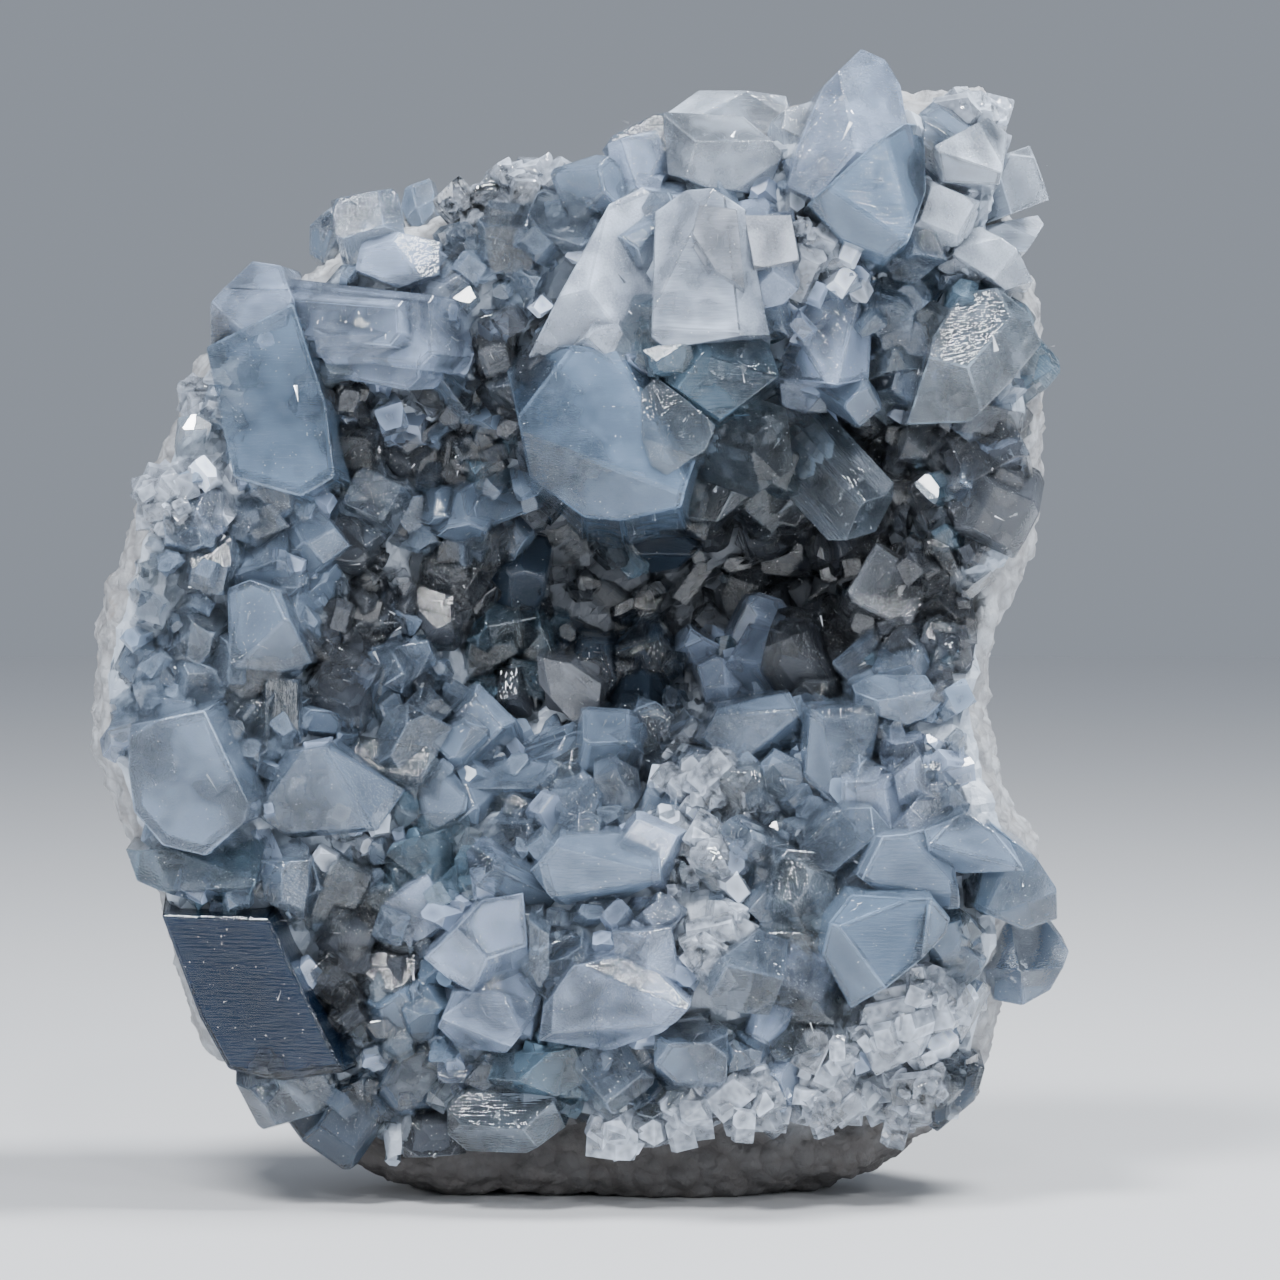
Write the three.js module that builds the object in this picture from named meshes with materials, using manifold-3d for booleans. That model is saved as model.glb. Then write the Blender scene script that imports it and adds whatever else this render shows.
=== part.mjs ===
// A celestite geode standing on edge: a rounded lump of pale rock, hollowed in front, whose hollow is lined with
// one crust of blue-grey celestite crystals. Millimetres. +Z is up, the hollow opens towards -Y, and the origin
// is the middle of the small flat spot that the rock stands on.
import * as THREE from 'three';
import { mergeVertices } from 'three/addons/utils/BufferGeometryUtils.js';
import Module from 'manifold-3d';

const wasm = await Module();
wasm.setup();

// ---- driving sizes of the rock ----
const MIDDLE_X = -1;          // middle of the rock's outline
const MIDDLE_Z = 58;
const AROUND = 44;            // points round each ring of the rock
const WIDEST_Y = 0;           // where the rock is widest
const BACK_Y = 25;            // how far back the rock reaches
const BACK_RINGS = [0.2, 0.4, 0.57, 0.72, 0.84, 0.93, 0.98];  // rings on the back, as shares of the outline
const RIM_HEIGHT = 13;        // how far the rim stands in front of the widest place
const RIM_SHARE = 0.93;       // the rim's crest, as a share of the outline
const FRONT_RINGS = [0.8, 0.6, 0.4, 0.2];      // rings in the hollow
const FLOOR_Y = -9;           // the hollow's floor where nothing dips or swells
const LUMP_SIZE = 1.7;        // how far the rock's lumps stand out
const FOOT_SPOT_Z = 0;        // the flat spot is ground at this height

// ---- driving sizes of the crust ----
const SEAT_GAP = 0.35;        // clear gap between the crust and the rock
const SLIVERS = 0.15;         // edges that stray less than this from a straight line or a flat face are merged
const CRUST_THICKNESS = 3;    // crystal floor between the standing crystals
const ROOT_DEPTH = 3;         // how far a crystal's root goes below the rock's face
const FLOOR_DEPTH = 1.5;      // how far the crystal floor goes below it before it is cut off
const LEAN = 0.42;            // how far a crystal that points straight out leans over, per millimetre of reach
const SHAFT = 3;              // length of a habit's shaft before it is stretched, in widths

// The outline as seen from the front, [x, z], anticlockwise from the foot.
const OUTLINE = [
  [5, -1.6], [21, -1], [33, 2], [41, 7], [44, 13], [45, 20], [46.5, 27], [47.5, 36], [45.5, 43], [43.5, 51],
  [45, 59], [48, 69], [49.5, 81], [49.5, 91], [47, 99], [46, 109], [45, 114], [41.5, 117.3], [34, 115.5],
  [22, 113.5], [8, 111.5], [-2, 108], [-11, 105], [-23, 102], [-30, 96], [-37, 91.5], [-42, 84], [-45.5, 77],
  [-48.5, 67], [-50.5, 59], [-52.5, 52], [-50, 43], [-46.5, 34], [-43, 26], [-42, 20], [-38.5, 14.5],
  [-32.5, 9], [-26.5, 3.2], [-18, -1], [-8, -2],
];

// Dips (deep > 0) and swells (deep < 0) of the hollow's floor: middle x and z, half width, half height, depth.
const RELIEF = [
  { x: 4, z: 60, wide: 27, tall: 17, deep: 19 },    // the hollow itself
  { x: 31, z: 76, wide: 16, tall: 22, deep: 10 },   // foot of the right wall
  { x: -20, z: 28, wide: 12, tall: 10, deep: 6 },   // nook low on the left
  { x: -19, z: 83, wide: 11, tall: 7, deep: 6 },    // nook high on the left
  { x: 10, z: 26, wide: 34, tall: 18, deep: -6 },   // the shelf under the hollow
  { x: 12, z: 99, wide: 30, tall: 13, deep: -6 },   // the brow over it
];

// Broken faces that flatten the rock's back: outward direction and distance from the origin.
const CHIPS = [
  { out: [0.68, 0.7, 0.22], at: 56.5 },
  { out: [-0.7, 0.66, 0.27], at: 54.5 },
  { out: [0.1, 0.72, 0.69], at: 87 },
  { out: [-0.5, 0.55, 0.67], at: 79 },
  { out: [-0.3, 0.85, -0.43], at: 14 },
  { out: [-0.45, 0.6, -0.66], at: 10.5 },
  { out: [0.6, 0.5, -0.62], at: 18.5 },
];

// Crystal habits. Each is a square shaft one wide with its tip at the origin, cut by its facets. A facet is
// [nx, ny, nz, distance], and what lies outside it is cut away.
const HABITS = {
  chisel: [
    [0, 0.75, 0.66, 0.03], [0.04, -0.8, 0.6, 0.01], [0.72, 0.05, 0.69, 0.16], [-0.66, -0.06, 0.75, 0.2],
  ],
  block: [
    [0.03, 0.02, 1, -0.02], [0.71, 0, 0.7, 0.24], [-0.7, 0.05, 0.71, 0.29], [0, 0.72, 0.7, 0.28],
    [0.06, -0.7, 0.71, 0.24], [0.58, 0.55, 0.6, 0.4], [-0.58, -0.55, 0.6, 0.42],
  ],
  point: [
    [0.74, 0.42, 0.52, 0.06], [-0.74, 0.42, 0.52, 0.05], [0.74, -0.42, 0.52, 0.05], [-0.74, -0.42, 0.52, 0.07],
    [0.05, 0.8, 0.6, 0.14], [-0.05, -0.8, 0.6, 0.12], [0, 0.05, 1, -0.04],
    [0.6, 0.8, 0, 0.48], [-0.6, 0.8, 0, 0.46], [-0.6, -0.8, 0, 0.48], [0.6, -0.8, 0, 0.46],
  ],
  slant: [
    [0.35, 0.1, 0.93, 0.1], [-0.8, 0, 0.6, 0.33], [0.1, 0.75, 0.65, 0.28], [0, -0.7, 0.7, 0.26],
    [0.75, 0.66, 0, 0.56], [-0.66, -0.75, 0, 0.58], [0.7, -0.7, 0, 0.62],
  ],
  table: [
    [0.08, 0.05, 1, 0], [0.6, 0, 0.8, 0.26], [-0.55, 0, 0.83, 0.25], [0, 0.62, 0.78, 0.3], [0, -0.58, 0.81, 0.28],
    [0.8, 0.6, 0, 0.45], [-0.8, 0.6, 0, 0.47], [-0.8, -0.6, 0, 0.45], [0.8, -0.6, 0, 0.49],
  ],
};

// The standing crystals, by where they grow: habit, tip [x, z], root [x, z], how far the tip stands in front of
// the rock at the root, width, depth and turn about its own length in degrees.
const CRYSTALS = {
  brow: [
    ['table', [30.5, 109], [31, 108], 17, 12.5, 21.5, 0],
    ['block', [17.5, 115], [18, 105.5], 5, 10, 9, 8],
    ['point', [34, 112], [35.5, 105], 7, 7, 7, 10],
    ['block', [41, 108.5], [40.5, 105], 13, 7, 6, -6],
    ['block', [46.5, 101], [42.5, 104], 9, 7.5, 7, 20],
    ['slant', [44.5, 98], [41, 101], 13, 9, 6.5, 35],
    ['chisel', [6, 112], [9.5, 105], 4, 8, 7, 0],
    ['block', [-5, 108.5], [-3.5, 103.5], 5, 8, 7, 12],
    ['block', [-21.5, 103.5], [-20.5, 98], 7, 7, 6, 0],
    ['point', [-15.5, 99.5], [-15.5, 98], 11, 7, 6, 10],
    ['slant', [1.5, 106], [2.5, 103], 9, 7, 6, 0],
    ['block', [12, 109.5], [12.5, 105.5], 10, 9, 7, 0],
    ['chisel', [-1.5, 100], [-1.5, 98], 10, 8, 7, 20],
    ['point', [13, 105.5], [14, 89.5], 7, 11.5, 10, 4],
    ['block', [4, 104], [7, 91.5], 9, 8, 7.5, 0],
    ['slant', [25.5, 85.5], [24.5, 92], 11, 10, 7.5, 8],
    ['block', [22, 94], [23, 94], 13, 7, 6, 10],
  ],
  heart: [
    ['table', [2.5, 80], [5.5, 83.5], 24, 18, 15.5, -14],
    ['slant', [-1.5, 86], [5, 89.5], 17, 10, 6, -10],
    ['block', [13, 86], [17, 89.5], 17, 12, 9, 14],
    ['table', [10.5, 80.5], [13, 83], 21, 7.2, 9.5, 12],
    ['chisel', [15.5, 75.5], [18, 80], 12, 8, 8, 0],
    ['slant', [7, 67.5], [11.5, 72], 9, 11, 6, 0],
    ['table', [-1.5, 67], [-1, 68.5], 6, 11, 9, 20],
  ],
  left: [
    ['chisel', [-33, 98], [-28.5, 75], 8, 11.5, 9.5, 0],
    ['block', [-12, 90], [-28, 92], 9, 7.8, 8.5, 0],
    ['block', [-42.5, 74], [-40.5, 73.5], 9, 8.2, 7.8, 40],
    ['point', [-28, 68.5], [-28.5, 70.5], 15, 10.5, 9.5, 0],
    ['block', [-32.5, 64.5], [-31, 56.5], 13, 8.5, 8, 4],
    ['chisel', [-38.5, 64], [-37.5, 63], 9, 7, 6.5, 30],
    ['chisel', [-39, 56.5], [-37.5, 55.5], 9, 8, 6, -20],
  ],
  hollow: [
    ['slant', [-1, 52.5], [2, 59], 9, 9, 10, 0],
    ['point', [8.5, 53.5], [8, 55], 8, 7.5, 7, 0],
    ['table', [2.5, 62], [2.5, 63], 6, 12, 9, 10],
    ['chisel', [17.5, 67], [18, 68.5], 7, 10, 8, -20],
    ['point', [12, 60.5], [12, 61.5], 6, 9, 7, 0],
    ['chisel', [23.5, 59], [24, 59.5], 8, 7, 6, 15],
  ],
  right: [
    ['chisel', [44.5, 94.5], [36, 81], 8, 8.8, 7.5, 0],
    ['block', [42.5, 79.5], [43.5, 76.5], 7, 7, 6.5, 8],
    ['table', [35.5, 76.5], [36.5, 75], 7, 8.5, 7.5, 0],
    ['block', [43.5, 71], [44, 70.5], 7, 7.5, 7, -6],
    ['block', [34, 64], [35.5, 62.5], 9, 9.5, 7, -10],
    ['chisel', [28.5, 63.5], [29, 62.5], 9, 7, 6, 0],
    ['block', [30.5, 91], [30.5, 92], 5, 8, 7, 0],
  ],
  shelfLeft: [
    ['block', [-40.5, 45], [-38, 44.5], 16, 12.5, 14, -8],
    ['block', [-40.5, 34], [-39, 36], 12, 12, 7, 0],
    ['table', [-34.5, 22.5], [-32.5, 23], 13, 13, 19.5, 27],
    ['slant', [-29.5, 10.5], [-28.5, 13], 9, 9, 6.5, 20],
    ['slant', [-29, 44], [-26.5, 42], 13, 12, 9, -12],
    ['chisel', [-18, 48.5], [-20, 46], 13, 7, 7, 0],
    ['block', [-12.5, 42], [-9.5, 43], 15, 8.5, 6.5, 0],
    ['point', [-4.5, 39.5], [-3, 41.5], 15, 8.5, 7, 0],
    ['slant', [1.5, 33.5], [3, 39], 17, 12.5, 9, 0],
    ['table', [-16.5, 35], [-15.5, 35.5], 9, 8, 7.5, 20],
    ['block', [-19.5, 25], [-19, 25.5], 8, 7.5, 7.5, 0],
    ['slant', [-10.5, 28.5], [-7.5, 26.5], 15, 9.5, 9, 35],
    ['block', [-34.5, 50.5], [-32.5, 49.5], 11, 7, 6, 25],
  ],
  shelfRight: [
    ['table', [18.5, 48], [19, 48.5], 13, 9.5, 9.5, 15],
    ['block', [28, 48], [28.5, 48], 15, 8, 10, 4],
    ['table', [33.5, 52.5], [34, 52.5], 11, 9.5, 6, 0],
    ['chisel', [43, 39.5], [40, 36.5], 15, 9.5, 9, 20],
    ['block', [48.5, 32.5], [41, 34.5], 13, 9.2, 8.5, 12],
    ['point', [29, 24.5], [35, 31.5], 20, 12, 11, 10],
    ['point', [52, 24.5], [39.5, 26.5], 8, 9.5, 9, 0],
    ['chisel', [29, 37], [30, 36.5], 16, 8.5, 7, 10],
    ['block', [16.5, 38.5], [17, 38], 17, 7, 5.5, 0],
    ['table', [18, 25], [18.5, 25.5], 16, 9, 10, 10],
  ],
  foot: [
    ['block', [-1.5, 20.5], [-1, 21.5], 16, 11.5, 8.5, 0],
    ['table', [-9, 20], [-8, 20.5], 14, 8.5, 7.5, 0],
    ['block', [5, 21.5], [5.5, 21.5], 16, 8.5, 7, 14],
    ['block', [-7.5, 9], [-6.5, 10], 13, 11.5, 6.8, 0],
    ['slant', [4.5, 8], [5, 9.5], 12, 7, 5, 0],
    ['table', [-18, 14], [-17.5, 15], 9, 8.5, 7.5, 0],
    ['chisel', [-24.5, 16], [-23.5, 17], 8, 7.5, 7, 20],
    ['block', [-23, 8], [-22, 9], 8, 8, 6.5, 0],
    ['point', [-1.5, 12], [-1, 13], 14, 7, 6.5, 0],
    ['slant', [30.5, 18.5], [31, 19], 15, 9.5, 8, 15],
    ['slant', [38, 17], [37, 18], 13, 8.5, 8.5, -20],
    ['block', [25.5, 14.5], [25.5, 15.5], 14, 8.5, 8, 35],
    ['slant', [18, 13], [18.5, 14], 14, 8.5, 8.5, 0],
    ['block', [13, 10], [13.5, 11.5], 13, 7, 6, 10],
    ['block', [40, 10], [39, 11], 8, 8.5, 9, 10],
    ['chisel', [12, 18], [12.5, 19], 15, 7.5, 7, 0],
    ['chisel', [34, 9], [33.5, 10.5], 9, 7, 5.5, 0],
    ['block', [4.5, 15], [5.5, 16], 14, 7, 6, 0],
  ],
};

// ---- small helpers ----
const dot = (a, b) => a[0] * b[0] + a[1] * b[1] + a[2] * b[2];

function unit(v) {
  const length = Math.hypot(...v);
  return v.map((c) => c / length);
}

function solidFrom(positions, triangles) {
  return new wasm.Manifold(new wasm.Mesh({
    numProp: 3,
    vertProperties: Float32Array.from(positions),
    triVerts: Uint32Array.from(triangles),
  }));
}

function geometryFrom(solid) {
  const mesh = solid.getMesh();
  const geometry = new THREE.BufferGeometry();
  geometry.setAttribute('position', new THREE.BufferAttribute(mesh.vertProperties, 3));
  geometry.setIndex(new THREE.BufferAttribute(mesh.triVerts, 1));
  return geometry;
}

function solidOf(geometry) {
  const bare = geometry.clone();
  bare.deleteAttribute('normal');
  bare.deleteAttribute('uv');
  const merged = mergeVertices(bare, 1e-4);
  return solidFrom(merged.attributes.position.array, merged.index.array);
}

// Keeps what lies inside a facet.
function cut(solid, [nx, ny, nz, distance]) {
  const [x, y, z] = unit([nx, ny, nz]);
  return solid.trimByPlane([-x, -y, -z], -distance);
}

// ---- the rock ----
// Rolling lumps a few millimetres across.
function lump(x, y, z) {
  const broad = Math.sin(x / 9 + 1.3 * Math.sin(z / 11)) * Math.cos(z / 8 + 0.9 * Math.sin(y / 7));
  const fine = Math.sin(x / 3.7 + 2) * Math.sin(y / 4.1 + 1) * Math.cos(z / 3.9);
  const inside = y < WIDEST_Y - RIM_HEIGHT / 2 ? 0.4 : 1;
  return LUMP_SIZE * inside * (broad + 0.7 * fine);
}

function floorY(x, z) {
  let y = FLOOR_Y;
  for (const dip of RELIEF) {
    y += dip.deep * Math.exp(-(((x - dip.x) / dip.wide) ** 2) - ((z - dip.z) / dip.tall) ** 2);
  }
  return y;
}

// The outline as evenly spaced points round the rock.
function outlinePoints() {
  const corners = OUTLINE.map(([x, z]) => new THREE.Vector3(x, WIDEST_Y, z));
  const curve = new THREE.CatmullRomCurve3(corners, true, 'centripetal');
  return curve.getSpacedPoints(AROUND).slice(0, AROUND);
}

// Rings of points from the pole of the back, over the widest place and the rim, to the middle of the hollow.
function rockRings() {
  const edge = outlinePoints();
  const ring = (share, yAt) => edge.map((p) => {
    const x = MIDDLE_X + (p.x - MIDDLE_X) * share;
    const z = MIDDLE_Z + (p.z - MIDDLE_Z) * share;
    return [x, yAt(x, z), z];
  });
  const back = BACK_RINGS.map((share) => {
    const dome = (1 - share ** 2.6) ** 0.5;
    return ring(share, () => WIDEST_Y + (BACK_Y - WIDEST_Y) * dome);
  });
  const rim = [0, 30, 60, 90].map((degrees) => {
    const turn = THREE.MathUtils.degToRad(degrees);
    const share = RIM_SHARE + (1 - RIM_SHARE) * Math.cos(turn);
    return ring(share, () => WIDEST_Y - RIM_HEIGHT * Math.sin(turn));
  });
  const front = FRONT_RINGS.map((share) => {
    const inward = THREE.MathUtils.smoothstep(RIM_SHARE - share, 0, 0.3);
    return ring(share, (x, z) => {
      const crest = WIDEST_Y - RIM_HEIGHT;
      return crest + (floorY(x, z) - crest) * inward;
    });
  });
  return [...back, ...rim, ...front];
}

// Closes rings of points into a solid with a pole at each end.
function ringGeometry(rings, firstPole, lastPole) {
  const count = rings[0].length;
  const points = [firstPole, ...rings.flat(), lastPole];
  const at = (ring, i) => 1 + ring * count + (i % count);
  const triangles = [];
  for (let i = 0; i < count; i += 1) {
    triangles.push(0, at(0, i + 1), at(0, i));
    for (let ring = 0; ring < rings.length - 1; ring += 1) {
      triangles.push(at(ring, i), at(ring, i + 1), at(ring + 1, i));
      triangles.push(at(ring, i + 1), at(ring + 1, i + 1), at(ring + 1, i));
    }
    triangles.push(points.length - 1, at(rings.length - 1, i), at(rings.length - 1, i + 1));
  }
  const geometry = new THREE.BufferGeometry();
  geometry.setAttribute('position', new THREE.Float32BufferAttribute(points.flat(), 3));
  geometry.setIndex(triangles);
  return geometry;
}

// Moves every vertex along its normal by offset(x, y, z).
function swell(geometry, offset) {
  geometry.computeVertexNormals();
  const { position, normal } = geometry.attributes;
  for (let i = 0; i < position.count; i += 1) {
    const [x, y, z] = [position.getX(i), position.getY(i), position.getZ(i)];
    const by = offset(x, y, z);
    position.setXYZ(i, x + by * normal.getX(i), y + by * normal.getY(i), z + by * normal.getZ(i));
  }
  return geometry;
}

function rockGeometry() {
  const middleFloor = floorY(MIDDLE_X, MIDDLE_Z);
  const shape = ringGeometry(rockRings(), [MIDDLE_X, BACK_Y, MIDDLE_Z], [MIDDLE_X, middleFloor, MIDDLE_Z]);
  return swell(shape, lump);
}

function rockSolid(geometry) {
  let solid = solidOf(geometry);
  for (const chip of CHIPS) solid = cut(solid, [...chip.out, chip.at]);
  return solid.trimByPlane([0, 0, 1], FOOT_SPOT_Z);
}

// ---- the crust ----
// One crystal habit at unit size, as vertices and triangles.
function habitMesh(facets) {
  const shaft = new THREE.BoxGeometry(1, 1, SHAFT).translate(0, 0, -SHAFT / 2);
  let solid = solidOf(shaft);
  for (const facet of facets) solid = cut(solid, facet);
  return solid.getMesh();
}

// The rock's front face at x, z, found by a ray from the front.
function rockFace(rockMesh, x, z) {
  const ray = new THREE.Raycaster(new THREE.Vector3(x, -200, z), new THREE.Vector3(0, 1, 0));
  const hit = ray.intersectObject(rockMesh)[0];
  return hit ? hit.point.y : WIDEST_Y;
}

// A habit stretched from its root to its tip.
function crystal(habit, tip, root, width, depth, spin) {
  const length = tip.distanceTo(root);
  const along = tip.clone().sub(root).normalize();
  const across = new THREE.Vector3(0, -1, 0).cross(along);
  if (across.length() < 0.12) across.set(1, 0, 0).addScaledVector(along, -along.x);
  across.normalize().applyAxisAngle(along, THREE.MathUtils.degToRad(spin));
  const outward = along.clone().cross(across);
  const place = new THREE.Matrix4().makeBasis(across, outward, along).setPosition(tip);
  const positions = [];
  for (let i = 0; i < habit.vertProperties.length; i += 3) {
    const [x, y, z] = habit.vertProperties.subarray(i, i + 3);
    const onRoot = z < -SHAFT + 0.01;
    const point = new THREE.Vector3(x * width, y * depth, onRoot ? -length : z * width * 0.8);
    positions.push(...point.applyMatrix4(place).toArray());
  }
  return solidFrom(positions, habit.triVerts);
}

// Where a crystal is rooted, [x, z]: one that points almost straight out leans over, each a different way.
function leaningRoot(tip, root, reach) {
  if (Math.hypot(tip[0] - root[0], tip[1] - root[1]) > 0.3 * reach) return root;
  const way = 2.1 * tip[0] + 1.3 * tip[1];
  return [root[0] + LEAN * reach * Math.cos(way), root[1] + LEAN * reach * Math.sin(way)];
}

function standingCrystals(rockMesh) {
  const habits = {};
  for (const [name, facets] of Object.entries(HABITS)) habits[name] = habitMesh(facets);
  return Object.values(CRYSTALS).flat().map(([habit, tip, root, reach, width, depth, spin]) => {
    const [x, z] = leaningRoot(tip, root, reach);
    const front = rockFace(rockMesh, root[0], root[1]) - reach;
    const end = new THREE.Vector3(tip[0], front, tip[1]);
    const start = new THREE.Vector3(x, rockFace(rockMesh, x, z), z);
    start.addScaledVector(start.clone().sub(end).normalize(), ROOT_DEPTH);
    return crystal(habits[habit], end, start, width, depth, spin);
  });
}

// The crystal floor: the hollow's inner rings, thickened towards the front.
function crustFloor() {
  const inner = rockRings().slice(-FRONT_RINGS.length - 1);
  const moved = (by) => inner.map((ring) => ring.map(([x, y, z]) => [x, y + by, z]));
  const middleFloor = floorY(MIDDLE_X, MIDDLE_Z);
  return ringGeometry(
    [...moved(FLOOR_DEPTH).reverse(), ...moved(-CRUST_THICKNESS)],
    [MIDDLE_X, middleFloor + FLOOR_DEPTH, MIDDLE_Z],
    [MIDDLE_X, middleFloor - CRUST_THICKNESS, MIDDLE_Z],
  );
}

function crustSolid(geometry) {
  const rockMesh = new THREE.Mesh(geometry);
  const grown = solidOf(swell(geometry.clone(), () => SEAT_GAP));
  const lined = standingCrystals(rockMesh).reduce((sum, one) => sum.add(one), solidOf(crustFloor()));
  const pieces = lined.subtract(grown).decompose();
  const [largest] = pieces.sort((a, b) => b.volume() - a.volume());
  return largest.simplify(SLIVERS);
}

// ---- the geode ----
const rockShape = rockGeometry();
const rock = rockSolid(rockShape);
const crust = crustSolid(rockShape);

const rockMaterial = new THREE.MeshStandardMaterial({ color: 0xb9b7b2, roughness: 0.95, metalness: 0 });
const celestiteMaterial = new THREE.MeshStandardMaterial({ color: 0x9fb4c4, roughness: 0.25, metalness: 0 });

function part(name, solid, material) {
  const mesh = new THREE.Mesh(geometryFrom(solid), material);
  mesh.name = name;
  return mesh;
}

const geode = new THREE.Group();
geode.add(part('rock', rock, rockMaterial), part('crystal_crust', crust, celestiteMaterial));

export default geode;
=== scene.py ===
# Dresses the celestite geode: rough pale rock, and over its hollow one crust of clear to milky crystals.
import math
import random
from collections import namedtuple

import bpy
import numpy as np
from mathutils import Matrix, Vector, noise
from mathutils.bvhtree import BVHTree
from mathutils.kdtree import KDTree


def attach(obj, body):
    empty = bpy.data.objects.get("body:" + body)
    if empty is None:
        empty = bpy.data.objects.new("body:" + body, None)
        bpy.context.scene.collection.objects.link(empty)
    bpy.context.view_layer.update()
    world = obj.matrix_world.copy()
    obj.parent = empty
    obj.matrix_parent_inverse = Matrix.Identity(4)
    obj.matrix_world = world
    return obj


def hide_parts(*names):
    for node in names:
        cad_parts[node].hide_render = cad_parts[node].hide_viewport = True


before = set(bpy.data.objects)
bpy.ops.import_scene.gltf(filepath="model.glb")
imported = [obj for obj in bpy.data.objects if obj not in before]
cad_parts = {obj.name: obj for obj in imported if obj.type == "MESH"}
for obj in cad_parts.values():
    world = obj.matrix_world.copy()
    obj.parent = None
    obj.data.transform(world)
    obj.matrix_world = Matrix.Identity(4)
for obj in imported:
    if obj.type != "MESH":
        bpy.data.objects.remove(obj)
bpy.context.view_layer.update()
mm = 0.001
random.seed(12)
print("frame loaded")


# everyday helpers

def setMode(mode):
    bpy.ops.object.mode_set(mode=mode)


def selectAll(action="SELECT"):
    bpy.ops.mesh.select_all(action=action)


def pickOnly(piece):
    if bpy.context.object and bpy.context.object.mode != "OBJECT":
        setMode("OBJECT")
    bpy.ops.object.select_all(action="DESELECT")
    piece.select_set(True)
    bpy.context.view_layer.objects.active = piece


def applyModifier(piece, kind, **settings):
    pickOnly(piece)
    bpy.ops.object.modifier_add(type=kind)
    modifier = piece.modifiers[-1]
    for key, value in settings.items():
        setattr(modifier, key, value)
    bpy.ops.object.modifier_apply(modifier=modifier.name)


def roughen(piece, patterns):  # pushes the surface in and out by cloud and cell patterns
    for kind, size, strength in patterns:
        pattern = bpy.data.textures.new(piece.name + kind, kind)
        pattern.noise_scale = size
        applyModifier(piece, "DISPLACE", texture=pattern, texture_coords="LOCAL", strength=strength)


def newObject(name, data):
    made = bpy.data.objects.new(name, data)
    bpy.context.scene.collection.objects.link(made)
    return made


def copyOfNode(node, name):
    piece = newObject(name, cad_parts[node].data.copy())
    piece.data.materials.clear()
    pickOnly(piece)
    setMode("EDIT")
    selectAll()
    bpy.ops.mesh.remove_doubles(threshold=0.01 * mm)
    setMode("OBJECT")
    return piece


def editFaces(piece, wanted):  # opens the piece in edit mode with only the wanted faces selected
    pickOnly(piece)
    setMode("EDIT")
    bpy.ops.mesh.select_mode(type="FACE")
    selectAll("DESELECT")
    setMode("OBJECT")
    for face in piece.data.polygons:
        face.select = wanted(face)
    setMode("EDIT")


def treeOf(piece):  # for rays that find the surface of a piece
    points = [vertex.co.copy() for vertex in piece.data.vertices]
    return BVHTree.FromPolygons(points, [tuple(face.vertices) for face in piece.data.polygons])


def dress(piece, node, material):
    piece.data.materials.clear()
    piece.data.materials.append(material)
    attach(piece, "root")
    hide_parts(node)


def lot(span):  # a value drawn by lot between two
    return random.uniform(*span)


def within(reach):  # a point drawn by lot in a cube around the origin
    return Vector([random.uniform(-reach, reach) for axis in range(3)])


def anyWay():  # a vector that may point any way
    return Vector([random.gauss(0, 1) for axis in range(3)])


# shader maths

class Signal:  # a value in a shader, so that sums on it read as sums
    def __init__(self, shader, socket):
        self.shader = shader
        self.socket = socket

    def maths(self, operation, first, second):
        return self.shader.add("Math", [first, second], operation=operation)

    def __add__(self, other):
        return self.maths("ADD", self, other)

    def __radd__(self, other):
        return self.maths("ADD", other, self)

    def __sub__(self, other):
        return self.maths("SUBTRACT", self, other)

    def __rsub__(self, other):
        return self.maths("SUBTRACT", other, self)

    def __mul__(self, other):
        return self.maths("MULTIPLY", self, other)

    def __rmul__(self, other):
        return self.maths("MULTIPLY", other, self)

    def __truediv__(self, other):
        return self.maths("DIVIDE", self, other)

    def __pow__(self, other):
        return self.maths("POWER", self, other)


class Shader:  # one material and its nodes
    def __init__(self, name):
        self.material = bpy.data.materials.new(name)
        self.material.use_nodes = True
        self.tree = self.material.node_tree
        self.tree.nodes.clear()
        self.out = self.tree.nodes.new("ShaderNodeOutputMaterial")

    def add(self, kind, inputs, output=0, **settings):
        node = self.tree.nodes.new("ShaderNode" + kind)
        for key, value in settings.items():
            setattr(node, key, value)
        for key, value in inputs.items() if isinstance(inputs, dict) else enumerate(inputs):
            if isinstance(value, Signal):
                self.tree.links.new(value.socket, node.inputs[key])
            else:
                node.inputs[key].default_value = value
        return Signal(self, node.outputs[output])

    def where(self):  # a point's place on its piece
        return self.add("TexCoord", {}, "Object")

    def mix(self, factor, first, second):  # of two colours
        return self.add("Mix", {0: factor, 6: first, 7: second}, 2, data_type="RGBA")

    def between(self, value, low, high):  # 0 below low, 1 above high, smooth in the middle
        inputs = {"Value": value, "From Min": low, "From Max": high}
        return self.add("MapRange", inputs, interpolation_type="SMOOTHSTEP")

    def noise(self, where, scale, detail, roughness=0.5):
        inputs = {"Vector": where, "Scale": scale, "Detail": detail, "Roughness": roughness}
        return self.add("TexNoise", inputs)

    def attribute(self, name, output="Fac"):
        return self.add("Attribute", {}, output, attribute_name=name)

    def bump(self, height, strength, distance):
        return self.add("Bump", {"Height": height, "Strength": strength, "Distance": distance})

    def finish(self, surface, volume=None):
        self.tree.links.new(surface.socket, self.out.inputs["Surface"])
        if volume:
            self.tree.links.new(volume.socket, self.out.inputs["Volume"])
        return self.material


# the rock

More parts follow.
